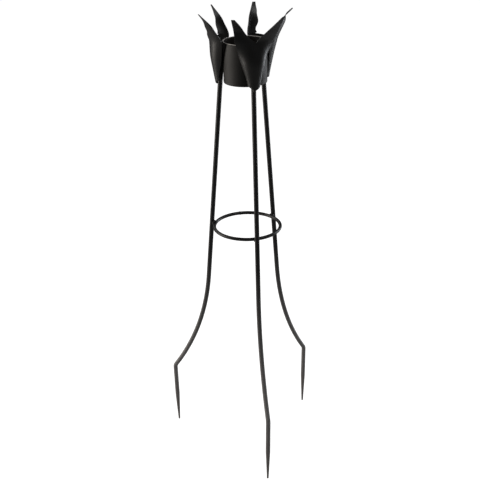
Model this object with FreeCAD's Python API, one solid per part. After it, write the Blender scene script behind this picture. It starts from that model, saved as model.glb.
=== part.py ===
import FreeCAD, Part
import math
import os

# A garden torch: three bent rods carry a round cup ringed by three forked sheet-steel petals.
# A fuel canister with a wick stands in the cup. Units are millimetres and +Z is up.
# The origin is on the cup's axis at the level of the three spike tips.
# The front leg is at -Y. The other two stand 120 degrees either side of it.

ROD_R = 5.5                  # leg rod, 11 mm
RING_ROD_R = 4.0             # bracing ring rod, 8 mm
SHEET = 1.5                  # cup and petal sheet

CUP_R = 48.6                 # outside of the cup
CUP_FLOOR_Z = 943.0          # underside of the cup
CUP_RIM_Z = 1034.5

LEG_TOP_Z = 980.0
LEG_LEAN = 4.95              # degrees from upright, above the flare
FLARE_TOP_Z = 449.0          # where the rod starts to curve outwards
FLARE_R = 572.0
FLARE_FOOT_ANGLE = 34.5      # degrees from upright, just above the bend
BEND_R = 16.0
SPIKE_LEAN = -1.0            # the spike comes slightly back in as it goes down
SPIKE_TAPER = 80.0
SPIKE_TIP_R = 2.2
WELD_GAP = 0.1               # between a rod and the part that is welded to it

RING_Z = 593.0

PETAL_CORNER_Z = 949.0       # foot of the petal's two straight edges
PETAL_FOOT_DROP = 9.5        # how far the pointed foot hangs below those
PETAL_TIP_H = 150.0
# The rolled sheet at a few heights above the foot corners, the same on every petal up to the shoulder:
# height, half-width between the side edges, then those edges and the ridge from the cup's axis.
PETAL_ROLL = [(-12.0, 11.0, 54.5, 66.0), (0.0, 12.8, 55.8, 68.0), (42.0, 23.5, 48.5, 75.2)]
RIGHT_SHOULDER = (80.0, 35.4, 43.5, 83.3)
LEFT_SHOULDER = (84.0, 37.5, 43.0, 77.5)
FRONT_SHOULDER = (94.0, 42.5, 60.0, 70.0)
# Above the shoulder each prong is bent out by hand: the same columns, half-way up it and at its tip.
FRONT_LEFT_PRONG = [(117.0, 46.0, 61.0, 64.0), (150.0, 59.0, 84.5, 98.0)]
FRONT_RIGHT_PRONG = [(117.0, 50.0, 69.5, 79.0), (150.0, 54.0, 97.0, 99.0)]
RIGHT_NEAR_PRONG = [(117.0, 45.0, 52.5, 103.0), (150.0, 58.0, 88.5, 93.0)]
RIGHT_FAR_PRONG = [(117.0, 41.5, 52.0, 99.0), (150.0, 59.0, 79.5, 109.5)]
LEFT_NEAR_PRONG = [(117.0, 45.0, 58.5, 95.5), (150.0, 54.5, 87.5, 109.0)]
LEFT_FAR_PRONG = [(117.0, 43.0, 56.0, 97.0), (150.0, 58.0, 85.0, 103.5)]
# The notch, one side for each prong: height and distance sideways from the ridge, from its bottom to a tip.
FRONT_LEFT_NOTCH = [(94.0, 0.0), (104.0, 12.0), (125.0, 28.0), (150.0, 52.0)]
FRONT_RIGHT_NOTCH = [(94.0, 0.0), (104.0, 8.0), (125.0, 29.5), (150.0, 49.0)]
RIGHT_NEAR_NOTCH = [(80.0, 0.0), (92.0, 16.5), (106.0, 27.5), (124.0, 34.5), (150.0, 55.0)]
LEFT_NEAR_NOTCH = [(84.0, 0.0), (93.0, 14.0), (106.0, 30.0), (124.0, 39.0), (150.0, 52.0)]
LEFT_FAR_NOTCH = [(84.0, 0.0), (88.0, 26.0), (92.0, 29.0), (110.0, 36.0), (130.0, 43.0), (150.0, 55.5)]
RIGHT_FAR_NOTCH = [(80.0, 0.0), (84.0, 29.0), (88.0, 32.0), (110.0, 35.5), (130.0, 42.0), (150.0, 54.5)]
# Each petal's angle round the cup, its shoulder, its prongs and the two sides of its notch.
PETALS = {
    "front": (-84.0, FRONT_SHOULDER, FRONT_LEFT_PRONG, FRONT_RIGHT_PRONG,
              FRONT_LEFT_NOTCH, FRONT_RIGHT_NOTCH),
    "right": (30.0, RIGHT_SHOULDER, RIGHT_NEAR_PRONG, RIGHT_FAR_PRONG,
              RIGHT_NEAR_NOTCH, RIGHT_FAR_NOTCH),
    "left": (156.0, LEFT_SHOULDER, LEFT_FAR_PRONG, LEFT_NEAR_PRONG,
             LEFT_FAR_NOTCH, LEFT_NEAR_NOTCH),
}

CAN_R = 42.0
CAN_WALL = 1.0
CAN_BODY_H = 44.0
CAN_SHOULDER_H = 6.0
NECK_R = 15.0
NECK_H = 10.0
BURNER_R = 18.0
BURNER_SKIRT_H = 9.0
WICK_R = 4.0
WICK_TUBE_R = 5.0
SNUFFER_R = 14.0

# Angle round the cup at a leg's foot and at its top.
# The rods are set by hand, so each leans a little sideways between the two.
LEG_ANGLES = {"front": (-91.0, -85.0), "right": (29.5, 32.5), "left": (150.5, 154.0)}
UP = FreeCAD.Vector(0, 0, 1)
ORIGIN = FreeCAD.Vector(0, 0, 0)


def vec(x, y, z):
    return FreeCAD.Vector(x, y, z)


def turned(shape, degrees):
    copy = shape.copy()
    copy.rotate(ORIGIN, UP, degrees)
    return copy


def write(name, shape):
    shape.exportStep(os.path.join("parts", name + ".step"))


def tube(outer, inner, bottom, height):
    ring = Part.makeCylinder(outer, height, vec(0, 0, bottom))
    return ring.cut(Part.makeCylinder(inner, height, vec(0, 0, bottom)))


def spun(profile):
    """A closed outline of (radius, height) points, spun round the cup's axis."""
    wire = Part.makePolygon([vec(r, 0, z) for r, z in profile + profile[:1]])
    return Part.Face(wire).revolve(ORIGIN, UP, 360)


# Legs: all are drawn in the XZ plane, with X as the distance from the cup's axis.

def leg_radius_at(z):
    top = CUP_R + ROD_R / math.cos(math.radians(LEG_LEAN)) + WELD_GAP
    return top + (LEG_TOP_Z - z) * math.tan(math.radians(LEG_LEAN))


def on_arc(centre, radius, degrees, side):
    a = math.radians(degrees)
    return centre + vec(math.cos(a), 0, math.sin(a)) * radius * side


def arc_edge(centre, radius, start, end, side):
    middle = on_arc(centre, radius, (start + end) / 2, side)
    return Part.Arc(on_arc(centre, radius, start, side), middle, on_arc(centre, radius, end, side)).toShape()


def leg():
    top = vec(leg_radius_at(LEG_TOP_Z), 0, LEG_TOP_Z)
    flare_top = vec(leg_radius_at(FLARE_TOP_Z), 0, FLARE_TOP_Z)
    flare_centre = on_arc(flare_top, FLARE_R, LEG_LEAN, 1)
    bend_top = on_arc(flare_centre, FLARE_R, FLARE_FOOT_ANGLE, -1)
    bend_centre = on_arc(bend_top, BEND_R, FLARE_FOOT_ANGLE, -1)
    spike_top = on_arc(bend_centre, BEND_R, SPIKE_LEAN, 1)
    down = vec(math.sin(math.radians(SPIKE_LEAN)), 0, -math.cos(math.radians(SPIKE_LEAN)))
    tip = spike_top + down * (spike_top.z / -down.z)
    taper_top = tip - down * SPIKE_TAPER
    path = Part.Wire([
        Part.LineSegment(top, flare_top).toShape(),
        arc_edge(flare_centre, FLARE_R, LEG_LEAN, FLARE_FOOT_ANGLE, -1),
        arc_edge(bend_centre, BEND_R, FLARE_FOOT_ANGLE, SPIKE_LEAN, 1),
        Part.LineSegment(spike_top, taper_top).toShape(),
    ])
    section = Part.Wire(Part.makeCircle(ROD_R, top, flare_top - top))
    rod = path.makePipeShell([section], True, True)
    point = Part.makeCone(ROD_R, SPIKE_TIP_R, SPIKE_TAPER, taper_top, down)
    return rod.fuse(point).removeSplitter()


def stood(shape, place):
    """Lean something drawn with the leg a little sideways, then turn it to its place."""
    foot, top = LEG_ANGLES[place]
    across = leg_radius_at(LEG_TOP_Z) * math.sin(math.radians(top - foot))
    copy = shape.copy()
    copy.rotate(ORIGIN, vec(1, 0, 0), -math.degrees(math.atan2(across, LEG_TOP_Z)))
    copy.rotate(ORIGIN, UP, foot)
    return copy


def bead(centre, along, half_length, radius):
    """A weld bead: a short fat lozenge lying along a joint."""
    middle = Part.makeSphere(radius, centre)
    ends = []
    for sign in (-1, 1):
        ends.append(Part.makeCone(radius * 0.86, radius * 0.45, half_length,
                                  centre + along * (sign * radius * 0.5), along * sign))
    return middle.fuse(ends).removeSplitter()


# Bracing ring: it lies inside the legs and is welded to each.

def ring_radius():
    return leg_radius_at(RING_Z) - ROD_R / math.cos(math.radians(LEG_LEAN)) - RING_ROD_R - WELD_GAP


def brace_ring():
    return Part.makeTorus(ring_radius(), RING_ROD_R, vec(0, 0, RING_Z), UP)


def ring_weld(place):
    lozenges = []
    for sign in (-1, 1):
        centre = vec(ring_radius() + RING_ROD_R, sign * 3.2, RING_Z)
        lozenges.append(bead(centre, vec(0, 0, 1), 3.0, 2.6))
    pair = lozenges[0].fuse(lozenges[1])
    return stood(pair.cut(leg()), place).cut(brace_ring())


# Cup: a rolled wall with a pressed floor let into its foot.

def cup_wall():
    wall = tube(CUP_R, CUP_R - SHEET, CUP_FLOOR_Z, CUP_RIM_Z - CUP_FLOOR_Z)
    level = [e for e in wall.Edges if e.BoundBox.ZLength < 0.01]
    lip = [e for e in level if abs(e.BoundBox.ZMin - CUP_RIM_Z) < 0.01]
    foot = [e for e in level if e not in lip and e.Curve.Radius > CUP_R - 0.01]
    return wall.makeFillet(SHEET * 0.4, lip).makeFillet(SHEET * 0.8, foot)


def cup_base():
    inside = CUP_R - SHEET
    return spun([
        (0, CUP_FLOOR_Z + SHEET),
        (0, CUP_FLOOR_Z + 2 * SHEET),
        (inside - SHEET, CUP_FLOOR_Z + 2 * SHEET),
        (inside - SHEET, CUP_FLOOR_Z + 6.0),
        (inside, CUP_FLOOR_Z + 6.0),
        (inside, CUP_FLOOR_Z + 2 * SHEET),
        (inside - SHEET, CUP_FLOOR_Z + SHEET),
    ])


def cup_weld(place):
    up_the_rod = vec(-math.sin(math.radians(LEG_LEAN)), 0, math.cos(math.radians(LEG_LEAN)))
    beads = []
    for sign in (-1, 1):
        centre = vec(CUP_R + 1.2, sign * 4.0, LEG_TOP_Z - 9.0)
        beads.append(bead(centre, up_the_rod, 7.0, 2.4))
    pair = beads[0].fuse(beads[1])
    solid_cup = Part.makeCylinder(CUP_R, CUP_RIM_Z - CUP_FLOOR_Z, vec(0, 0, CUP_FLOOR_Z))
    return stood(pair.cut(leg()), place).cut(solid_cup)


# Petal: sheet rolled to a half-cone that opens upwards, its upper edge cut to a fork and bent out.
# It is drawn round +X, h is the height above the foot corners, and side is +1 or -1.

def climb(rows, k, column):
    """How fast a column grows with height on the way up to row k."""
    low = rows[max(k - 1, 0)]
    high = rows[max(k, 1)]
    return (high[column] - low[column]) / (high[0] - low[0])


def smooth(rows, h):
    """The row at height h, on a curve that leaves every row in the direction it came."""
    k = max(i for i in range(len(rows) - 1) if rows[i][0] <= h)
    span = rows[k + 1][0] - rows[k][0]
    t = (h - rows[k][0]) / span
    values = []
    for column in range(1, len(rows[0])):
        start = climb(rows, k, column) * span
        bend = climb(rows, k + 1, column) * span - start
        values.append(rows[k][column] + start * t + bend * (2 * t ** 2 - t ** 3))
    return values


class HalfSection:
    """The level cut through one half of a petal: an arc of sheet from the ridge to the side edge."""

    def __init__(self, rows, h, side):
        half_width, edge, ridge = smooth(rows, h)
        rise = ridge - edge
        self.radius = (half_width ** 2 + rise ** 2) / (2 * rise)
        self.centre = ridge - self.radius
        self.reach = math.atan2(half_width, edge - self.centre)
        self.z = PETAL_CORNER_Z + h
        self.side = side

    def point(self, inset, angle):
        r = self.radius - inset
        return vec(self.centre + r * math.cos(angle), self.side * r * math.sin(angle), self.z)

    def arc(self, inset, start):
        middle = (start + self.reach) / 2
        ends = [self.point(inset, turn) for turn in (start, middle, self.reach)]
        return Part.Arc(*ends).toShape()

    def end(self, angle):
        return Part.makeLine(self.point(0, angle), self.point(SHEET, angle))


def whole_section(rows, h):
    left = HalfSection(rows, h, -1)
    right = HalfSection(rows, h, 1)
    edges = [left.arc(0, 0), right.arc(0, 0), right.end(right.reach),
             right.arc(SHEET, 0), left.arc(SHEET, 0), left.end(left.reach)]
    return Part.Wire(Part.sortEdges(edges)[0])


def half_section(rows, h, side):
    half = HalfSection(rows, h, side)
    edges = [half.arc(0, 0), half.end(half.reach), half.arc(SHEET, 0), half.end(0)]
    return Part.Wire(Part.sortEdges(edges)[0])


def notch_cutter(notch, side):
    """A thick plate, the shape of half the notch."""
    bottom = notch[0][0]
    tip, wide = notch[-1]
    steps = 12
    heights = [bottom + (tip - bottom) * k / steps for k in range(steps)]
    edge = [(smooth(notch, h)[0], h) for h in heights]
    edge += [(wide, tip), (wide, tip + 10), (0, tip + 10), (0, bottom)]
    wire = Part.makePolygon([vec(0, side * y, PETAL_CORNER_Z + h) for y, h in edge])
    return Part.Face(wire).extrude(vec(200, 0, 0))


def foot_trim():
    """A thick plate whose lower edge is the petal's pointed foot."""
    foot = PETAL_CORNER_Z - PETAL_FOOT_DROP
    wide = 100.0
    rise = wide * PETAL_FOOT_DROP / PETAL_ROLL[1][1]
    top = PETAL_CORNER_Z + 2 * PETAL_TIP_H
    outline = [(0, foot), (wide, foot + rise), (wide, top), (-wide, top), (-wide, foot + rise)]
    wire = Part.makePolygon([vec(0, y, z) for y, z in outline + outline[:1]])
    return Part.Face(wire).extrude(vec(200, 0, 0))


def petal(shoulder, left_prong, right_prong, left_notch, right_notch):
    body_rows = PETAL_ROLL + [shoulder]
    top = shoulder[0]
    heights = [-12.0, 0.0, top * 0.25, top * 0.5, top * 0.75, top]
    body = Part.makeLoft([whole_section(body_rows, h) for h in heights], True, False)
    shape = body.common(foot_trim())
    for side, prong, notch in ((-1, left_prong, left_notch), (1, right_prong, right_notch)):
        steps = 5
        heights = [top + (PETAL_TIP_H - top) * k / steps for k in range(steps + 1)]
        rows = body_rows + prong
        sheet = Part.makeLoft([half_section(rows, h, side) for h in heights], True, False)
        shape = shape.fuse(sheet.cut(notch_cutter(notch, side)))
    return shape


def placed_petal(place):
    angle, shoulder, left_prong, right_prong, left_notch, right_notch = PETALS[place]
    return turned(petal(shoulder, left_prong, right_prong, left_notch, right_notch), angle)


def petal_weld(place):
    z = PETAL_CORNER_Z - PETAL_FOOT_DROP + 3.0
    centre = vec(leg_radius_at(z) + ROD_R + 0.4, 0, z - 2.0)
    lump = bead(centre, UP, 3.0, 3.0)
    return stood(lump.cut(leg()), place).cut(placed_petal(place))


# Fuel canister: a drawn can, a pressed top with a neck, and the rolled seam that joins them.

CAN_FLOOR_Z = CUP_FLOOR_Z + 2 * SHEET
CAN_TOP_Z = CAN_FLOOR_Z + CAN_BODY_H
NECK_TOP_Z = CAN_TOP_Z + CAN_SHOULDER_H + NECK_H


def canister_body():
    shell = Part.makeCylinder(CAN_R, CAN_BODY_H, vec(0, 0, CAN_FLOOR_Z))
    foot = [e for e in shell.Edges if e.BoundBox.ZMax < CAN_FLOOR_Z + 0.01]
    shell = shell.makeFillet(2.5, foot)
    return shell.cut(Part.makeCylinder(CAN_R - CAN_WALL, CAN_BODY_H, vec(0, 0, CAN_FLOOR_Z + CAN_WALL)))


def canister_top():
    neck_foot = CAN_TOP_Z + CAN_SHOULDER_H
    return spun([
        (CAN_R, CAN_TOP_Z),
        (CAN_R, CAN_TOP_Z + CAN_WALL),
        (NECK_R, neck_foot),
        (NECK_R, NECK_TOP_Z),
        (NECK_R - CAN_WALL, NECK_TOP_Z),
        (NECK_R - CAN_WALL, neck_foot - CAN_WALL),
        (CAN_R - CAN_WALL, CAN_TOP_Z),
    ])


def canister_seam():
    return spun([
        (CAN_R, CAN_TOP_Z - 2.0),
        (CAN_R + 1.6, CAN_TOP_Z - 1.6),
        (CAN_R + 1.6, CAN_TOP_Z + 2.0),
        (CAN_R + 0.6, CAN_TOP_Z + 2.6),
        (CAN_R - 0.2, CAN_TOP_Z + 2.0),
        (CAN_R, CAN_TOP_Z + CAN_WALL),
    ])


# Burner: a screw cap on the neck, carrying the wick tube and its wick.

GASKET_H = 1.0
BURNER_DISC_Z = NECK_TOP_Z + GASKET_H
BURNER_TOP_Z = BURNER_DISC_Z + 1.5
WICK_TUBE_TOP_Z = BURNER_TOP_Z + 5.0
WICK_TOP_Z = WICK_TUBE_TOP_Z + 3.0


def burner_gasket():
    return tube(BURNER_R - 1.8, NECK_R - 3.0, NECK_TOP_Z, GASKET_H)


def burner_cap():
    cap = Part.makeCylinder(BURNER_R, BURNER_SKIRT_H + BURNER_TOP_Z - BURNER_DISC_Z,
                            vec(0, 0, BURNER_DISC_Z - BURNER_SKIRT_H))
    rim = [e for e in cap.Edges if e.BoundBox.ZMin > BURNER_TOP_Z - 0.01]
    cap = cap.makeFillet(1.0, rim)
    room = Part.makeCylinder(BURNER_R - 1.8, BURNER_SKIRT_H, vec(0, 0, BURNER_DISC_Z - BURNER_SKIRT_H))
    hole = Part.makeCylinder(WICK_TUBE_R, 10.0, vec(0, 0, BURNER_DISC_Z - 1.0))
    return cap.cut(room).cut(hole)


def wick_tube():
    return tube(WICK_TUBE_R, WICK_R, BURNER_DISC_Z - 14.0, WICK_TUBE_TOP_Z - BURNER_DISC_Z + 14.0)


def wick():
    bottom = CAN_FLOOR_Z + CAN_WALL + 2.0
    return Part.makeCylinder(WICK_R, WICK_TOP_Z - bottom, vec(0, 0, bottom))


# Snuffer: a thimble that stands on the burner over the wick, with a knob to lift it by.

def snuffer_cap():
    top = WICK_TOP_Z + 2.0
    return spun([
        (SNUFFER_R, BURNER_TOP_Z),
        (SNUFFER_R, top - 3.0),
        (SNUFFER_R - 3.0, top),
        (0, top),
        (0, top - 1.0),
        (SNUFFER_R - 3.4, top - 1.0),
        (SNUFFER_R - 1.0, top - 3.4),
        (SNUFFER_R - 1.0, BURNER_TOP_Z),
    ])


def snuffer_knob():
    foot = WICK_TOP_Z + 2.0
    return spun([
        (0, foot),
        (2.0, foot),
        (2.0, foot + 1.2),
        (4.0, foot + 2.2),
        (4.0, foot + 3.2),
        (2.8, foot + 4.0),
        (0, foot + 4.0),
    ])


def group(make):
    return Part.makeCompound([make(place) for place in LEG_ANGLES])


def main():
    os.makedirs("parts", exist_ok=True)
    for place in LEG_ANGLES:
        write("leg_" + place, stood(leg(), place))
        write("petal_" + place, placed_petal(place))
    write("brace_ring", brace_ring())
    write("ring_welds", group(ring_weld))
    write("cup_wall", cup_wall())
    write("cup_base", cup_base())
    write("cup_welds", group(cup_weld))
    write("petal_welds", group(petal_weld))
    write("canister_body", canister_body())
    write("canister_top", canister_top())
    write("canister_seam", canister_seam())
    write("burner_gasket", burner_gasket())
    write("burner_cap", burner_cap())
    write("wick_tube", wick_tube())
    write("wick", wick())
    write("snuffer_cap", snuffer_cap())
    write("snuffer_knob", snuffer_knob())


main()
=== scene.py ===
import math

import bmesh
import bpy
from mathutils import Matrix, Vector, noise


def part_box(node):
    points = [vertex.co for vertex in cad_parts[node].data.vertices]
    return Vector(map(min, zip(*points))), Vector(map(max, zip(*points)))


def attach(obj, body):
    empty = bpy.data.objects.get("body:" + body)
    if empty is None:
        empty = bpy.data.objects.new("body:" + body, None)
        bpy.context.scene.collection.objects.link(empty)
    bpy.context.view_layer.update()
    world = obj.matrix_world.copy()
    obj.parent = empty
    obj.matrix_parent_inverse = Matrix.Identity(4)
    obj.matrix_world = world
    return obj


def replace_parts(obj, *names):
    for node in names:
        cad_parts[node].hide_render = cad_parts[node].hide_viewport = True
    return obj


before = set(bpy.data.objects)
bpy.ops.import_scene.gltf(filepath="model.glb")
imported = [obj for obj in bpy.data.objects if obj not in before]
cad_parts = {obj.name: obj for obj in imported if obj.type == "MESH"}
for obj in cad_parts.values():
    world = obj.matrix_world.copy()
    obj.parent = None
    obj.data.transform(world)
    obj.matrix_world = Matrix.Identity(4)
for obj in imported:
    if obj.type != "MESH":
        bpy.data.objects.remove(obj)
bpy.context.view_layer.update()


# ---------------------------------------------------------------- studio
# A white table with no edge in sight, and large soft lamps at both sides and behind.
# The side towards the camera is left dark, so that black metal stays black.

SKY_LIGHT = 0.05             # what the sky sheds on the torch
SKY_SEEN = 1.05              # how bright the sky itself looks
TABLE_LIGHT = 0.07
TABLE_SEEN = 1.0
TABLE_REACH = 30

scene = bpy.context.scene
scene.view_settings.view_transform = "Standard"

world = bpy.data.worlds.new("studio")
world.use_nodes = True
sky = world.node_tree.nodes["Background"]
sky.inputs["Color"].default_value = (0.98, 0.98, 1, 1)
sky_path = world.node_tree.nodes.new("ShaderNodeLightPath")
sky_range = world.node_tree.nodes.new("ShaderNodeMapRange")
sky_range.inputs["To Min"].default_value = SKY_LIGHT
sky_range.inputs["To Max"].default_value = SKY_SEEN
world.node_tree.links.new(sky_path.outputs["Is Camera Ray"], sky_range.inputs["Value"])
world.node_tree.links.new(sky_range.outputs[0], sky.inputs["Strength"])
scene.world = world

table_mesh = bmesh.new()
bmesh.ops.create_grid(table_mesh, x_segments=1, y_segments=1, size=TABLE_REACH)
table_data = bpy.data.meshes.new("table")
table_mesh.to_mesh(table_data)
table_mesh.free()
table = bpy.data.objects.new("table", table_data)
scene.collection.objects.link(table)

table_white = bpy.data.materials.new("table white")
table_white.use_nodes = True
table_shader = table_white.node_tree.nodes["Principled BSDF"]
table_shader.inputs["Base Color"].default_value = (0.35, 0.35, 0.35, 1)
table_shader.inputs["Roughness"].default_value = 0.9
table_shader.inputs["Emission Color"].default_value = (1, 1, 1, 1)
table_glow = table_white.node_tree.nodes.new("ShaderNodeLightPath")
table_range = table_white.node_tree.nodes.new("ShaderNodeMapRange")
table_range.inputs["To Min"].default_value = TABLE_LIGHT
table_range.inputs["To Max"].default_value = TABLE_SEEN
table_white.node_tree.links.new(table_glow.outputs["Is Camera Ray"], table_range.inputs["Value"])
table_white.node_tree.links.new(table_range.outputs[0], table_shader.inputs["Emission Strength"])
table_data.materials.append(table_white)


def lamp(name, place, target, width, height, watts, tint):
    """A soft rectangular lamp, turned to face the target."""
    light = bpy.data.lights.new(name, "AREA")
    light.shape = "RECTANGLE"
    light.size = width
    light.size_y = height
    light.energy = watts
    light.color = tint
    holder = bpy.data.objects.new(name, light)
    holder.location = place
    holder.rotation_euler = (Vector(target) - Vector(place)).to_track_quat("-Z", "Y").to_euler()
    scene.collection.objects.link(holder)


lamp("left lamp", (-2.1, 0.55, 1.0), (0, 0, 0.95), 1.0, 2.2, 38, (1.0, 0.95, 0.88))
lamp("right lamp", (2.1, 0.7, 0.9), (0, 0, 0.85), 0.6, 2.0, 25, (0.92, 0.95, 1.0))
lamp("back lamp", (-0.9, 2.2, 2.2), (0, 0, 0.95), 1.2, 1.0, 10, (1.0, 1.0, 1.0))
lamp("top lamp", (0.9, -1.2, 2.9), (0, 0, 0.95), 1.1, 1.1, 20, (1.0, 1.0, 1.0))

CAMERA_SWING = -0.2301       # radians round the torch from straight in front
CAMERA_AWAY = 1.988          # level distance from the cup's axis
CAMERA_HEIGHT = 1.4833
CAMERA_DIP = 0.4366          # radians that it looks down
CAMERA_YAW = -0.0091
CAMERA_ROLL = -0.0171
CAMERA_LENS = 68.715         # on a 36 mm wide sensor

ahead = Vector((-math.sin(CAMERA_SWING), math.cos(CAMERA_SWING), 0))
across = Vector((math.cos(CAMERA_SWING), math.sin(CAMERA_SWING), 0))
level_ahead = ahead * math.cos(CAMERA_YAW) + across * math.sin(CAMERA_YAW)
level_across = across * math.cos(CAMERA_YAW) - ahead * math.sin(CAMERA_YAW)
gaze = level_ahead * math.cos(CAMERA_DIP) - Vector((0, 0, math.sin(CAMERA_DIP)))
crown = level_ahead * math.sin(CAMERA_DIP) + Vector((0, 0, math.cos(CAMERA_DIP)))
side = level_across * math.cos(CAMERA_ROLL) + crown * math.sin(CAMERA_ROLL)
crown = crown * math.cos(CAMERA_ROLL) - level_across * math.sin(CAMERA_ROLL)

camera = bpy.data.objects.new("camera", bpy.data.cameras.new("camera"))
camera.data.lens = CAMERA_LENS
camera.data.sensor_width = 36
camera.data.clip_end = 60
turn = Matrix((side, crown, -gaze)).transposed().to_4x4()
stand_point = -ahead * CAMERA_AWAY + Vector((0, 0, CAMERA_HEIGHT))
camera.matrix_world = Matrix.Translation(stand_point) @ turn
scene.collection.objects.link(camera)
scene.camera = camera


# ---------------------------------------------------------------- legs
# Three bent steel rods, forged to a point at the foot, that carry everything else.
# All the steelwork is coated in one go with black powder, which bakes to a fine orange peel.

COAT_BLACK = (0.0045, 0.0042, 0.0040)
COAT_BROWN = (0.030, 0.021, 0.015)
COAT_DEPTH = 0.00012         # how deep the orange peel is
GRIT_SHARE = 0.35            # how strongly the grit shows on the peel
CLOUD_DULLING = 0.16
SPLASH_GREY = (0.24, 0.23, 0.225)
SPLASH_TOP = 0.52
SPLASH_FULL = 0.20
SOIL_BROWN = (0.16, 0.13, 0.105)
SOIL_TOP = 0.125
SOIL_FULL = 0.07


def join(tree, *links):
    """Link each pair of an output and an input."""
    for start, end in links:
        tree.links.new(start, end)


def make_group(name, inputs, outputs):
    """A node group with its named number and colour sockets."""
    group = bpy.data.node_groups.new(name, "ShaderNodeTree")
    for label, kind, value in inputs:
        socket_type = "NodeSocket" + kind
        socket = group.interface.new_socket(label, in_out="INPUT", socket_type=socket_type)
        socket.default_value = value
    for label, kind in outputs:
        group.interface.new_socket(label, in_out="OUTPUT", socket_type="NodeSocket" + kind)
    return group, group.nodes.new("NodeGroupInput"), group.nodes.new("NodeGroupOutput")


def noise_node(tree, scale, detail):
    node = tree.nodes.new("ShaderNodeTexNoise")
    node.inputs["Scale"].default_value = scale
    node.inputs["Detail"].default_value = detail
    return node


def range_node(tree, low, high, to_low, to_high):
    """Maps low to to_low and high to to_high, and holds still outside them."""
    node = tree.nodes.new("ShaderNodeMapRange")
    node.inputs["From Min"].default_value = low
    node.inputs["From Max"].default_value = high
    node.inputs["To Min"].default_value = to_low
    node.inputs["To Max"].default_value = to_high
    return node


def blend_node(tree, factor, first, second):
    """Mixes two colours, each either a plain colour or another node's output."""
    node = tree.nodes.new("ShaderNodeMix")
    node.data_type = "RGBA"
    join(tree, (factor, node.inputs["Factor"]))
    for value, socket in ((first, node.inputs[6]), (second, node.inputs[7])):
        if isinstance(value, tuple):
            socket.default_value = value + (1,)
        else:
            join(tree, (value, socket))
    return node.outputs[2]


def make_coat_group():
    """Baked powder: an even orange peel, soft clouds of tone, and a few fine specks of dust."""
    group, given, result = make_group(
        "powder coat",
        [("Vector", "Vector", (0, 0, 0)), ("Colour", "Color", (0.01, 0.01, 0.01, 1)),
         ("Dust", "Color", (0.05, 0.045, 0.04, 1)), ("Dust Amount", "Float", 0.3),
         ("Roughness", "Float", 0.4), ("Peel", "Float", 1.0)],
        [("Colour", "Color"), ("Roughness", "Float"), ("Height", "Float")])
    peel = noise_node(group, 900, 2)
    grit = noise_node(group, 2600, 1)
    clouds = noise_node(group, 16, 3)
    specks = noise_node(group, 420, 4)
    for node in (peel, grit, clouds, specks):
        join(group, (given.outputs["Vector"], node.inputs["Vector"]))
    cloudy = range_node(group, 0.35, 0.7, 0.15, 1.0)
    speckled = range_node(group, 0.60, 0.70, 0.15, 1.0)
    join(group, (clouds.outputs["Fac"], cloudy.inputs["Value"]),
         (specks.outputs["Fac"], speckled.inputs["Value"]))
    dusty = group.nodes.new("ShaderNodeMath")
    dusty.operation = "MULTIPLY"
    dusty_amount = group.nodes.new("ShaderNodeMath")
    dusty_amount.operation = "MULTIPLY"
    join(group, (cloudy.outputs[0], dusty.inputs[0]), (speckled.outputs[0], dusty.inputs[1]),
         (dusty.outputs[0], dusty_amount.inputs[0]), (given.outputs["Dust Amount"], dusty_amount.inputs[1]))
    colour = blend_node(group, dusty_amount.outputs[0], given.outputs["Colour"], given.outputs["Dust"])
    rough = group.nodes.new("ShaderNodeMath")
    rough.operation = "MULTIPLY_ADD"
    rough.inputs[1].default_value = CLOUD_DULLING
    join(group, (clouds.outputs["Fac"], rough.inputs[0]), (given.outputs["Roughness"], rough.inputs[2]))
    fine = group.nodes.new("ShaderNodeMath")
    fine.operation = "MULTIPLY_ADD"
    fine.inputs[1].default_value = GRIT_SHARE
    height = group.nodes.new("ShaderNodeMath")
    height.operation = "MULTIPLY"
    join(group, (grit.outputs["Fac"], fine.inputs[0]), (peel.outputs["Fac"], fine.inputs[2]),
         (fine.outputs[0], height.inputs[0]), (given.outputs["Peel"], height.inputs[1]),
         (colour, result.inputs["Colour"]), (rough.outputs[0], result.inputs["Roughness"]),
         (height.outputs[0], result.inputs["Height"]))
    return group


coat_group = make_coat_group()


def new_material(name):
    """A material with its node tree, its shader and the place on the object that patterns follow."""
    material = bpy.data.materials.new(name)
    material.use_nodes = True
    tree = material.node_tree
    place = tree.nodes.new("ShaderNodeTexCoord").outputs["Object"]
    return material, tree, tree.nodes["Principled BSDF"], place


def bump_into(tree, shader, height, distance, strength):
    bump = tree.nodes.new("ShaderNodeBump")
    bump.inputs["Distance"].default_value = distance
    bump.inputs["Strength"].default_value = strength
    join(tree, (height, bump.inputs["Height"]), (bump.outputs["Normal"], shader.inputs["Normal"]))


def powder_coat(name, colour, dust, dust_amount, roughness, peel=1.0):
    """One finish of the powder coat: its colour, its dust, and how dull and how peeled it is."""
    material, tree, shader, place = new_material(name)
    coat = tree.nodes.new("ShaderNodeGroup")
    coat.node_tree = coat_group
    coat.inputs["Colour"].default_value = colour + (1,)
    coat.inputs["Dust"].default_value = dust + (1,)
    coat.inputs["Dust Amount"].default_value = dust_amount
    coat.inputs["Roughness"].default_value = roughness
    coat.inputs["Peel"].default_value = peel
    join(tree, (place, coat.inputs["Vector"]), (coat.outputs["Colour"], shader.inputs["Base Color"]),
         (coat.outputs["Roughness"], shader.inputs["Roughness"]))
    bump_into(tree, shader, coat.outputs["Height"], COAT_DEPTH, 0.6)
    shader.inputs["Specular IOR Level"].default_value = 0.42
    return material, tree, shader, place, coat


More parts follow.
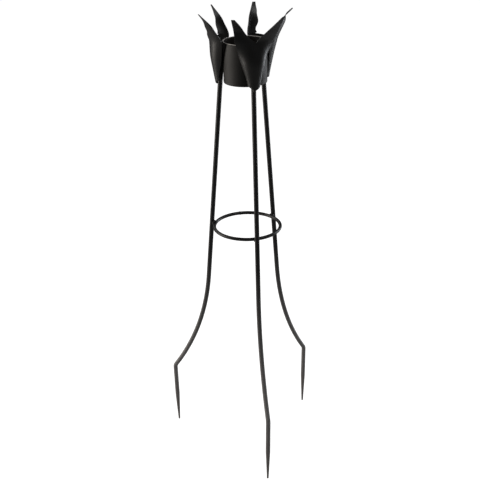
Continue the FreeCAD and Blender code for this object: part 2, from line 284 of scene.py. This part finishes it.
def rod_coat():
    """The coat on the rods, greyed by dried splashes low down and browned by soil on the spikes."""
    dust = (0.05, 0.046, 0.042)
    material, tree, shader, place, coat = powder_coat("rod coat", COAT_BLACK, dust, 0.35, 0.34)
    split = tree.nodes.new("ShaderNodeSeparateXYZ")
    soil_noise = noise_node(tree, 55, 5)
    level = range_node(tree, SOIL_TOP, SOIL_FULL, 0.0, 0.35)
    splash = range_node(tree, SPLASH_TOP, SPLASH_FULL, 0.0, 0.85)
    ragged = tree.nodes.new("ShaderNodeMath")
    ragged.operation = "MULTIPLY"
    patchy = range_node(tree, 0.32, 0.62, 0.35, 1.2)
    join(tree, (place, split.inputs[0]), (split.outputs["Z"], level.inputs["Value"]),
         (place, soil_noise.inputs["Vector"]), (soil_noise.outputs["Fac"], patchy.inputs["Value"]),
         (level.outputs[0], ragged.inputs[0]), (patchy.outputs[0], ragged.inputs[1]),
         (split.outputs["Z"], splash.inputs["Value"]))
    splashed = blend_node(tree, splash.outputs[0], coat.outputs["Colour"], SPLASH_GREY)
    soiled = blend_node(tree, ragged.outputs[0], splashed, SOIL_BROWN)
    join(tree, (soiled, shader.inputs["Base Color"]))
    return material


def dress(node, material):
    """Give a finish to a CAD node that keeps its own shape."""
    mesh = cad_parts[node].data
    mesh.materials.clear()
    mesh.materials.append(material)


rod_black = rod_coat()
for leg in ("leg_front", "leg_right", "leg_left"):
    dress(leg, rod_black)


# ---------------------------------------------------------------- bracing ring
# A thinner rod rolled into a hoop and welded to the inner side of each leg.
# Its two ends meet in a butt weld at the back.

dress("brace_ring", rod_black)


# ---------------------------------------------------------------- petals
# Sheet steel rolled to a half-cone, cut to a fork and bent out by hand, then welded on by the foot.
# The cut edges hold less powder than the faces, and their lighter colour is also a painted highlight for
# the light they catch.

SHEET = 1.5                  # this section's sizes are in millimetres
FOOT_DROP = 9.5
CORNER_HEIGHT = 949.0
TIP_RISE = 150.0
CUT_EDGE_ROUND = 0.35
GRID_ACROSS = 16
GRID_UP = 72
ROLL = [(-12.0, 11.0, 54.5, 66.0), (0.0, 12.8, 55.8, 68.0), (42.0, 23.5, 48.5, 75.2)]
PETAL_FORMS = {
    "front": (-84.0, (94.0, 42.5, 60.0, 70.0),
              [(117.0, 46.0, 61.0, 64.0), (150.0, 59.0, 84.5, 98.0)],
              [(117.0, 50.0, 69.5, 79.0), (150.0, 54.0, 97.0, 99.0)],
              [(94.0, 0.0), (104.0, 12.0), (125.0, 28.0), (150.0, 52.0)],
              [(94.0, 0.0), (104.0, 8.0), (125.0, 29.5), (150.0, 49.0)]),
    "right": (30.0, (80.0, 35.4, 43.5, 83.3),
              [(117.0, 45.0, 52.5, 103.0), (150.0, 58.0, 88.5, 93.0)],
              [(117.0, 41.5, 52.0, 99.0), (150.0, 59.0, 79.5, 109.5)],
              [(80.0, 0.0), (92.0, 16.5), (106.0, 27.5), (124.0, 34.5), (150.0, 55.0)],
              [(80.0, 0.0), (84.0, 29.0), (88.0, 32.0), (110.0, 35.5), (130.0, 42.0), (150.0, 54.5)]),
    "left": (156.0, (84.0, 37.5, 43.0, 77.5),
             [(117.0, 43.0, 56.0, 97.0), (150.0, 58.0, 85.0, 103.5)],
             [(117.0, 45.0, 58.5, 95.5), (150.0, 54.5, 87.5, 109.0)],
             [(84.0, 0.0), (88.0, 26.0), (92.0, 29.0), (110.0, 36.0), (130.0, 43.0), (150.0, 55.5)],
             [(84.0, 0.0), (93.0, 14.0), (106.0, 30.0), (124.0, 39.0), (150.0, 52.0)]),
}

petal_black, *_ = powder_coat(
    "petal coat", (0.0050, 0.0047, 0.0045), (0.050, 0.048, 0.046), 0.30, 0.33, 1.2)
# The cut edges get a lighter colour: partly a thinner coat, partly a painted highlight for the light lines
# along them.
cut_edge_coat_and_painted_highlight, *_ = powder_coat(
    "thin coat and painted highlight on cut edges", (0.030, 0.029, 0.028), (0.09, 0.088, 0.085), 0.5, 0.30, 0.8)


def climb(rows, k, column):
    """How fast a column grows on the way to row k, or out of the first row."""
    low = rows[max(k - 1, 0)]
    high = rows[max(k, 1)]
    return (high[column] - low[column]) / (high[0] - low[0])


def smooth_row(rows, h):
    """The row at height h, on a curve that leaves every row in the direction it came."""
    k = max(i for i in range(len(rows) - 1) if rows[i][0] <= h)
    span = rows[k + 1][0] - rows[k][0]
    t = (h - rows[k][0]) / span
    values = []
    for column in range(1, len(rows[0])):
        start = climb(rows, k, column) * span
        bend = climb(rows, k + 1, column) * span - start
        values.append(rows[k][column] + start * t + bend * (2 * t ** 2 - t ** 3))
    return values


def petal_point(rows, notch, hand, across_share, h):
    """A point of the outer face: across_share runs from the ridge or the notch to the side edge."""
    half_width, edge, ridge = smooth_row(rows, h)
    rise = ridge - edge
    radius = (half_width ** 2 + rise ** 2) / (2 * rise)
    centre = ridge - radius
    reach = math.atan2(half_width, edge - centre)
    start = 0.0
    if h > notch[0][0]:
        start = math.asin(min(smooth_row(notch, h)[0] / radius, 1.0))
    angle = start + (reach - start) * across_share
    return Vector((centre + radius * math.cos(angle), hand * radius * math.sin(angle), CORNER_HEIGHT + h))


def petal_half(sheet, rows, notch, hand):
    """One half, from a flat grid: its columns run up the petal and its rows across it."""
    made = bmesh.ops.create_grid(sheet, x_segments=GRID_ACROSS, y_segments=GRID_UP, size=0.5)["verts"]
    for vert in made:
        across_share = vert.co.x + 0.5
        up_share = vert.co.y + 0.5
        foot = FOOT_DROP * (across_share - 1)
        h = foot + (TIP_RISE - foot) * up_share
        vert.co = petal_point(rows, notch, hand, across_share, min(h, TIP_RISE - 0.001))
    if hand > 0:
        bmesh.ops.reverse_faces(sheet, faces=list({face for vert in made for face in vert.link_faces}))


def new_piece(name, made, body, slot, *materials):
    """Turn a finished bmesh into a piece that moves with a body."""
    data = bpy.data.meshes.new(name)
    made.to_mesh(data)
    made.free()
    for polygon in data.polygons:
        polygon.use_smooth = True
    for material in materials:
        data.materials.append(material)
    piece = bpy.data.objects.new(name, data)
    scene.collection.objects.link(piece)
    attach(piece, body)
    return piece


def soften_edges(piece, width):
    """Round a piece's sharp edges a little, as a real edge is."""
    bevel = piece.modifiers.new("rounded edges", "BEVEL")
    bevel.width = width
    bevel.segments = 2
    bevel.limit_method = "ANGLE"
    bevel.angle_limit = math.radians(50)
    bevel.harden_normals = True


for place, (turn_by, shoulder, left_prong, right_prong, left_notch, right_notch) in PETAL_FORMS.items():
    sheet = bmesh.new()
    petal_half(sheet, ROLL + [shoulder] + left_prong, left_notch, -1)
    petal_half(sheet, ROLL + [shoulder] + right_prong, right_notch, 1)
    bmesh.ops.remove_doubles(sheet, verts=sheet.verts, dist=0.05)
    bmesh.ops.transform(sheet, verts=sheet.verts,
                        matrix=Matrix.Rotation(math.radians(turn_by), 4, "Z") @ Matrix.Scale(0.001, 4))
    piece = new_piece("petal_sheet_" + place, sheet, "stand", "black_powder_coat",
                      petal_black, cut_edge_coat_and_painted_highlight)
    thickness = piece.modifiers.new("sheet", "SOLIDIFY")
    thickness.thickness = SHEET / 1000
    thickness.offset = -1
    thickness.material_offset_rim = 1
    soften_edges(piece, CUT_EDGE_ROUND / 1000)
    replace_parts(piece, "petal_" + place)


# ---------------------------------------------------------------- cup
# A rolled sheet wall with a pressed floor let into its foot, open at the top.
# Its lip is ground smooth, so the coat is thin there and shows grey.

CUP_BLACK = (0.0035, 0.0024, 0.0018)
RUBBED_GREY = (0.48, 0.46, 0.44)
LIP_WORN = 0.0016            # how far below the rim the coat starts to wear thin
LIP_BARE = 0.0006


def lip_coat():
    """The cup's coat, rubbed thin at the lip."""
    material, tree, shader, place, coat = powder_coat("cup coat", CUP_BLACK, COAT_BROWN, 0.22, 0.50)
    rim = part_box("cup_wall")[1].z
    split = tree.nodes.new("ShaderNodeSeparateXYZ")
    level = range_node(tree, rim - LIP_WORN, rim - LIP_BARE, 0.0, 1.0)
    join(tree, (place, split.inputs[0]), (split.outputs["Z"], level.inputs["Value"]))
    rubbed = blend_node(tree, level.outputs[0], coat.outputs["Colour"], RUBBED_GREY)
    join(tree, (rubbed, shader.inputs["Base Color"]))
    return material


cup_black = lip_coat()
dress("cup_wall", cup_black)
dress("cup_base", cup_black)


# The wall's two edges meet in a welded seam that runs up the back.

SEAM_SUNK = 0.0002
SEAM_SHORT = 0.004           # how much shorter it is than the wall
SEAM_RADIUS = 0.0011
SEAM_RIPPLES = 34


def wavy_bead(made, centre, axis, length, radius, ripples):
    """A bead of weld metal: a long drop with a ripple for each time the arc moved on."""
    rings = max(16, ripples * 7)
    drop = bmesh.ops.create_uvsphere(made, u_segments=20, v_segments=rings, radius=1.0)["verts"]
    for vert in drop:
        along = vert.co.z
        lump = 1 + 0.10 * math.sin(math.pi * ripples * (along + 0.25 * vert.co.x ** 2))
        lump += 0.07 * noise.noise(Vector((vert.co.x * 2, vert.co.y * 2, along * ripples)) + centre * 90)
        fullness = 1.0
        if abs(along) < 0.98:
            fullness = (1 - along ** 6) ** 0.5 / (1 - along ** 2) ** 0.5
        vert.co = Vector((vert.co.x * radius * lump * fullness,
                          vert.co.y * radius * lump * fullness, along * length / 2))
    lie = Vector((0, 0, 1)).rotation_difference(axis).to_matrix().to_4x4()
    bmesh.ops.transform(made, verts=drop, matrix=Matrix.Translation(centre) @ lie)


weld_black, *_ = powder_coat(
    "weld coat", (0.008, 0.0075, 0.007), (0.06, 0.055, 0.05), 0.5, 0.30, 2.0)
cup_low, cup_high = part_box("cup_wall")
cup_radius = cup_high.x
seam = bmesh.new()
wavy_bead(seam, Vector((0, cup_radius - SEAM_SUNK, (cup_low.z + cup_high.z) / 2)), Vector((0, 0, 1)),
          cup_high.z - cup_low.z - SEAM_SHORT, SEAM_RADIUS, SEAM_RIPPLES)
new_piece("cup_seam_bead", seam, "stand", "weld_bead", weld_black)


# ---------------------------------------------------------------- welds
# Beads of weld metal laid where each rod touches the ring, the cup and its petal, under the same coat.
# There are two beads on each joint, one either side of the rod, and one under each petal's foot.

LEG_ANGLES = (-88.0, 31.0, 152.0)
LEG_LEAN = 4.95              # degrees from upright
BEAD_OVERRUN = 0.001
BEAD_INSET = 0.8             # from the joint's outer side to a bead's middle, in its own radii
RING_JOINT_LENGTH = 0.006
RING_JOINT_SWELL = 1.09
WELD_SIZES = (("ring_welds", 0.0030, 3), ("cup_welds", 0.0027, 5), ("petal_welds", 0.0036, 3))


def leg_share(node, angle):
    """The box of the vertices of a group of welds that are at one leg, in that leg's own directions."""
    out = Vector((math.cos(angle), math.sin(angle), 0))
    sideways = Vector((-math.sin(angle), math.cos(angle), 0))
    corners = [vert.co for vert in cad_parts[node].data.vertices]
    near = [co for co in corners if Vector((co.x, co.y, 0)).normalized() @ out > 0.7]
    spans = []
    for direction in (out, sideways, Vector((0, 0, 1))):
        reach = [co @ direction for co in near]
        spans.append((min(reach), max(reach)))
    return out, sideways, spans


for node, bead_radius, ripples in WELD_SIZES:
    beads = bmesh.new()
    for angle in LEG_ANGLES:
        out, sideways, (out_span, side_span, up_span) = leg_share(node, math.radians(angle))
        middle_out = sum(out_span) / 2
        middle_side = sum(side_span) / 2
        middle_up = sum(up_span) / 2
        length = up_span[1] - up_span[0] + BEAD_OVERRUN
        lean = (Vector((0, 0, 1)) - out * math.tan(math.radians(LEG_LEAN))).normalized()
        if node == "petal_welds":
            wavy_bead(beads, out * middle_out + sideways * middle_side + Vector((0, 0, middle_up)),
                      lean, length, bead_radius, ripples)
            continue
        for hand in (-1, 1):
            offset = (side_span[1] - side_span[0]) / 2 - bead_radius * BEAD_INSET
            place = out * middle_out + sideways * (middle_side + hand * offset) + Vector((0, 0, middle_up))
            wavy_bead(beads, place, lean, length, bead_radius, ripples)
    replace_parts(new_piece(node + "_rippled", beads, "stand", "weld_bead", weld_black), node)

ring_low, ring_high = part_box("brace_ring")
bar_radius = (ring_high.z - ring_low.z) / 2
ring_joint = bmesh.new()
ring_back = Vector((0, ring_high.y - bar_radius, (ring_low.z + ring_high.z) / 2))
wavy_bead(ring_joint, ring_back, Vector((1, 0, 0)), RING_JOINT_LENGTH, bar_radius * RING_JOINT_SWELL, 2)
new_piece("ring_joint_bead", ring_joint, "stand", "weld_bead", weld_black)


# ---------------------------------------------------------------- canister
# A drawn steel can with a pressed top, rolled together at the seam and enamelled black.
# Two beads rolled round the wall stiffen it.

enamel, *_ = powder_coat("canister enamel", (0.006, 0.006, 0.0065), (0.03, 0.03, 0.03), 0.2, 0.16, 0.4)
for node in ("canister_top", "canister_seam"):
    dress(node, enamel)


SPIN_STEPS = 96
CAN_WALL = 0.001
CAN_FLOOR_LIFT = 0.0012      # the flat floor is pressed up inside the foot
BEAD_DEPTH = 0.0007
BEAD_STEP = 0.0006
BEAD_SHARES = (0.38, 0.52)   # how far up the wall each bead lies


def spun_piece(name, outline, body, slot, *materials):
    """A closed outline of (radius, height) points in metres, spun round the cup's axis."""
    made = bmesh.new()
    verts = [made.verts.new((radius, 0, z)) for radius, z in outline]
    edges = [made.edges.new((verts[k], verts[(k + 1) % len(verts)])) for k in range(len(verts))]
    bmesh.ops.spin(made, geom=verts + edges, axis=(0, 0, 1), cent=(0, 0, 0), angle=math.tau,
                   steps=SPIN_STEPS, use_merge=True)
    bmesh.ops.remove_doubles(made, verts=made.verts, dist=0.000005)
    bmesh.ops.recalc_face_normals(made, faces=made.faces)
    return new_piece(name, made, body, slot, *materials)


can_low, can_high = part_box("canister_body")
can_radius = can_high.x
can_floor = can_low.z + CAN_FLOOR_LIFT
can_outline = [(0.0, can_floor), (can_radius - 0.007, can_floor), (can_radius - 0.005, can_low.z),
               (can_radius - 0.0022, can_low.z), (can_radius - 0.0006, can_low.z + 0.0007),
               (can_radius, can_low.z + 0.0025)]
for bead_share in BEAD_SHARES:
    bead_z = can_low.z + (can_high.z - can_low.z) * bead_share
    for step in range(9):
        dip = BEAD_DEPTH * math.sin(math.pi * step / 8) ** 2
        can_outline.append((can_radius - dip, bead_z + BEAD_STEP * (step - 4)))
can_outline.append((can_radius, can_high.z))
can_outline += [(can_radius - CAN_WALL, can_high.z),
                (can_radius - CAN_WALL - BEAD_DEPTH, can_low.z + 0.004),
                (can_radius - 0.005, can_low.z + 0.0022), (0.0, can_low.z + 0.0022)]
can_body = spun_piece("canister_can", can_outline, "canister", "canister_enamel", enamel)
soften_edges(can_body, 0.0003)
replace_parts(can_body, "canister_body")


# ---------------------------------------------------------------- burner
# A screw cap of thin brass with a knurled skirt and a soldered wick tube.
# A rubber washer seals it on the neck.

BRASS_STRAW = (0.48, 0.33, 0.13)
BRASS_BROWN = (0.16, 0.095, 0.045)
KNURLS = 60
KNURL_DEPTH = 0.00055
SKIRT_HEIGHT = 0.0062
SKIRT_MIDDLE = 0.0046        # above the cap's lowest edge
TUBE_GAP = 0.00005


def brass_finish():
    """Brass darkened by heat: brown and straw clouds, with fine turning lines round the axis."""
    material, tree, shader, place = new_material("heated brass")
    clouds = noise_node(tree, 90, 4)
    fine = noise_node(tree, 1500, 2)
    stretch = tree.nodes.new("ShaderNodeMapping")
    stretch.inputs["Scale"].default_value = (0.15, 0.15, 2.2)
    tone = range_node(tree, 0.35, 0.68, 0.0, 1.0)
    dullness = range_node(tree, 0.3, 0.7, 0.24, 0.5)
    join(tree, (place, clouds.inputs["Vector"]), (place, stretch.inputs["Vector"]),
         (stretch.outputs[0], fine.inputs["Vector"]), (clouds.outputs["Fac"], tone.inputs["Value"]),
         (clouds.outputs["Fac"], dullness.inputs["Value"]),
         (dullness.outputs[0], shader.inputs["Roughness"]))
    colour = blend_node(tree, tone.outputs[0], BRASS_STRAW, BRASS_BROWN)
    join(tree, (colour, shader.inputs["Base Color"]))
    shader.inputs["Metallic"].default_value = 1.0
    bump_into(tree, shader, fine.outputs["Fac"], 0.00004, 0.5)
    return material


brass = brass_finish()
dress("wick_tube", brass)

cap_low, cap_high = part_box("burner_cap")
cap_radius = cap_high.x
tube_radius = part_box("wick_tube")[1].x
cap = bmesh.new()
skirt = bmesh.ops.create_cone(cap, cap_ends=False, segments=KNURLS * 2,
                              radius1=cap_radius, radius2=cap_radius, depth=SKIRT_HEIGHT)
bmesh.ops.translate(cap, verts=skirt["verts"], vec=(0, 0, cap_low.z + SKIRT_MIDDLE))
for vert in skirt["verts"]:
    step = round(math.atan2(vert.co.y, vert.co.x) / math.tau * KNURLS * 2)
    if step % 2:
        vert.co.x *= 1 - KNURL_DEPTH / cap_radius
        vert.co.y *= 1 - KNURL_DEPTH / cap_radius
skirt_edges = [edge for edge in cap.edges if edge.is_boundary]
lower = [edge for edge in skirt_edges if edge.verts[0].co.z < cap_low.z + 0.004]
upper = [edge for edge in skirt_edges if edge not in lower]


def pulled_rim(edges, radius, z):
    """Extrude a rim of the cap to a new circle."""
    grown = bmesh.ops.extrude_edge_only(cap, edges=edges)["geom"]
    for part in grown:
        if isinstance(part, bmesh.types.BMVert):
            flat = Vector((part.co.x, part.co.y, 0)).normalized() * radius
            part.co = Vector((flat.x, flat.y, z))
    return [part for part in grown if isinstance(part, bmesh.types.BMEdge)]


shoulder = [(cap_radius - 0.0004, cap_high.z - 0.0012), (cap_radius - 0.0014, cap_high.z - 0.0001),
            (cap_radius - 0.0040, cap_high.z)]
dish = [(cap_radius - 0.0048, cap_high.z - 0.0005), (tube_radius + 0.0022, cap_high.z - 0.0005)]
solder = [(tube_radius + 0.0012, cap_high.z), (tube_radius + TUBE_GAP, cap_high.z)]
inside = [(tube_radius + TUBE_GAP, cap_high.z - 0.0015), (cap_radius - 0.0020, cap_high.z - 0.0016),
          (cap_radius - 0.0018, cap_low.z)]
rim = upper
for rim_radius, rim_z in shoulder + dish + solder + inside:
    rim = pulled_rim(rim, rim_radius, rim_z)
skirt_foot = pulled_rim(lower, cap_radius - 0.0002, cap_low.z)
bmesh.ops.bridge_loops(cap, edges=rim + skirt_foot)
bmesh.ops.recalc_face_normals(cap, faces=cap.faces)
cap_piece = new_piece("burner_screw_cap", cap, "burner", "burner_metal", brass)
soften_edges(cap_piece, 0.00012)
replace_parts(cap_piece, "burner_cap")


RUBBER_BLACK = (0.018, 0.018, 0.018)
RUBBER_BLOOM = (0.05, 0.048, 0.046)


def rubber_finish():
    """Black rubber with a pale, patchy bloom."""
    material, tree, shader, place = new_material("washer rubber")
    bloom = noise_node(tree, 300, 4)
    join(tree, (place, bloom.inputs["Vector"]))
    colour = blend_node(tree, bloom.outputs["Fac"], RUBBER_BLACK, RUBBER_BLOOM)
    join(tree, (colour, shader.inputs["Base Color"]))
    shader.inputs["Roughness"].default_value = 0.75
    bump_into(tree, shader, bloom.outputs["Fac"], 0.0001, 0.5)
    return material


dress("burner_gasket", rubber_finish())


# ---------------------------------------------------------------- wick
# A round braid of glass fibre that runs from the fuel up through the brass tube.
# It is cream where it is fresh, and charred black where it burns.

BRAID_STRANDS = 8            # round the wick, each way
BRAID_CLIMB = 1400           # radians a metre
CHAR_START = 0.0055          # below the top
CHAR_FULL = 0.0015
CHAR_RAGGED = 0.003
FIBRE_SHADOW = (0.28, 0.24, 0.18)
FIBRE_CREAM = (0.74, 0.69, 0.58)
CHAR_BLACK = (0.006, 0.006, 0.006)
CHAR_ASH = (0.05, 0.045, 0.04)
CROWN_INSETS = (0.0006, 0.0012, 0.0012)


def braid_finish():
    """Two sets of strands that wind opposite ways, burnt black towards the top."""
    material, tree, shader, place = new_material("braided wick")
    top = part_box("wick")[1].z
    split = tree.nodes.new("ShaderNodeSeparateXYZ")
    round_it = tree.nodes.new("ShaderNodeMath")
    round_it.operation = "ARCTAN2"
    strands = []
    join(tree, (place, split.inputs[0]), (split.outputs["Y"], round_it.inputs[0]),
         (split.outputs["X"], round_it.inputs[1]))
    for slant in (-1, 1):
        climbing = tree.nodes.new("ShaderNodeMath")
        climbing.operation = "MULTIPLY"
        climbing.inputs[1].default_value = slant * BRAID_CLIMB
        turns = tree.nodes.new("ShaderNodeMath")
        turns.operation = "MULTIPLY_ADD"
        turns.inputs[1].default_value = BRAID_STRANDS
        wave = tree.nodes.new("ShaderNodeMath")
        wave.operation = "SINE"
        join(tree, (split.outputs["Z"], climbing.inputs[0]), (round_it.outputs[0], turns.inputs[0]),
             (climbing.outputs[0], turns.inputs[2]), (turns.outputs[0], wave.inputs[0]))
        strands.append(wave.outputs[0])
    over = tree.nodes.new("ShaderNodeMath")
    over.operation = "MAXIMUM"
    fluff = noise_node(tree, 2400, 3)
    char_noise = noise_node(tree, 700, 3)
    ragged = tree.nodes.new("ShaderNodeMath")
    ragged.operation = "MULTIPLY_ADD"
    ragged.inputs[1].default_value = CHAR_RAGGED
    char = range_node(tree, top - CHAR_START, top - CHAR_FULL, 0.0, 1.0)
    weave = range_node(tree, -0.6, 1.0, 0.0, 1.0)
    join(tree, (strands[0], over.inputs[0]), (strands[1], over.inputs[1]), (place, fluff.inputs["Vector"]),
         (place, char_noise.inputs["Vector"]), (char_noise.outputs["Fac"], ragged.inputs[0]),
         (split.outputs["Z"], ragged.inputs[2]), (ragged.outputs[0], char.inputs["Value"]),
         (over.outputs[0], weave.inputs["Value"]))
    fresh = blend_node(tree, weave.outputs[0], FIBRE_SHADOW, FIBRE_CREAM)
    burnt = blend_node(tree, fluff.outputs["Fac"], CHAR_BLACK, CHAR_ASH)
    join(tree, (blend_node(tree, char.outputs[0], fresh, burnt), shader.inputs["Base Color"]))
    shader.inputs["Roughness"].default_value = 0.95
    bump_into(tree, shader, weave.outputs[0], 0.0004, 0.9)
    return material


wick_low, wick_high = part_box("wick")
wick_radius = wick_high.x
wick = bmesh.new()
bmesh.ops.create_cone(wick, cap_ends=True, cap_tris=False, segments=48,
                      radius1=wick_radius, radius2=wick_radius, depth=wick_high.z - wick_low.z)
bmesh.ops.translate(wick, verts=wick.verts, vec=(0, 0, (wick_high.z + wick_low.z) / 2))
ends = [face for face in wick.faces if len(face.verts) > 4]
for inset in CROWN_INSETS:
    bmesh.ops.inset_region(wick, faces=ends, thickness=inset)
for vert in wick.verts:
    from_axis = math.hypot(vert.co.x, vert.co.y)
    if vert.co.z > wick_high.z - 0.0001 and from_axis > 0.0001:
        frayed = noise.noise(vert.co * 900)
        vert.co.z -= 0.0003 + 0.0009 * abs(frayed) + 0.0007 * (from_axis / wick_radius) ** 4
wick_piece = new_piece("wick_braid", wick, "burner", "wick_fibre", braid_finish())
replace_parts(wick_piece, "wick")


# ---------------------------------------------------------------- snuffer
# A pressed thimble with a rolled rim that stands over the wick to put it out.
# Its knob is turned, pushed through the crown and riveted.

CROWN_BEND = 0.0040          # where the wall turns over into the crown
HOOD_METAL = 0.0010
ROLLED_RIM = 0.0006          # how far the rolled rim stands out

hood_low, hood_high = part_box("snuffer_cap")
hood_radius = hood_high.x
crown_z = hood_high.z
wall_radius = hood_radius - ROLLED_RIM
snuffer_black, *_ = powder_coat(
    "snuffer enamel", (0.007, 0.007, 0.007), (0.04, 0.038, 0.036), 0.35, 0.24, 0.7)
hood_outline = [(hood_radius, hood_low.z + 0.0002), (hood_radius, hood_low.z + 0.0014),
                (wall_radius, hood_low.z + 0.0020), (wall_radius, crown_z - CROWN_BEND)]
for step in range(1, 8):
    bend = math.radians(90 * step / 7)
    hood_outline.append((hood_radius - CROWN_BEND + 0.0034 * math.cos(bend),
                         crown_z - CROWN_BEND + 0.0038 * math.sin(bend)))
hood_outline += [(0.0, crown_z), (0.0, crown_z - HOOD_METAL), (hood_radius - 0.0042, crown_z - 0.0012),
                 (hood_radius - 0.0016, crown_z - 0.0036), (hood_radius - 0.0015, hood_low.z + 0.0004),
                 (hood_radius - 0.0008, hood_low.z)]
hood = spun_piece("snuffer_hood", hood_outline, "snuffer", "snuffer_metal", snuffer_black)
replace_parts(hood, "snuffer_cap")
dress("snuffer_knob", brass)
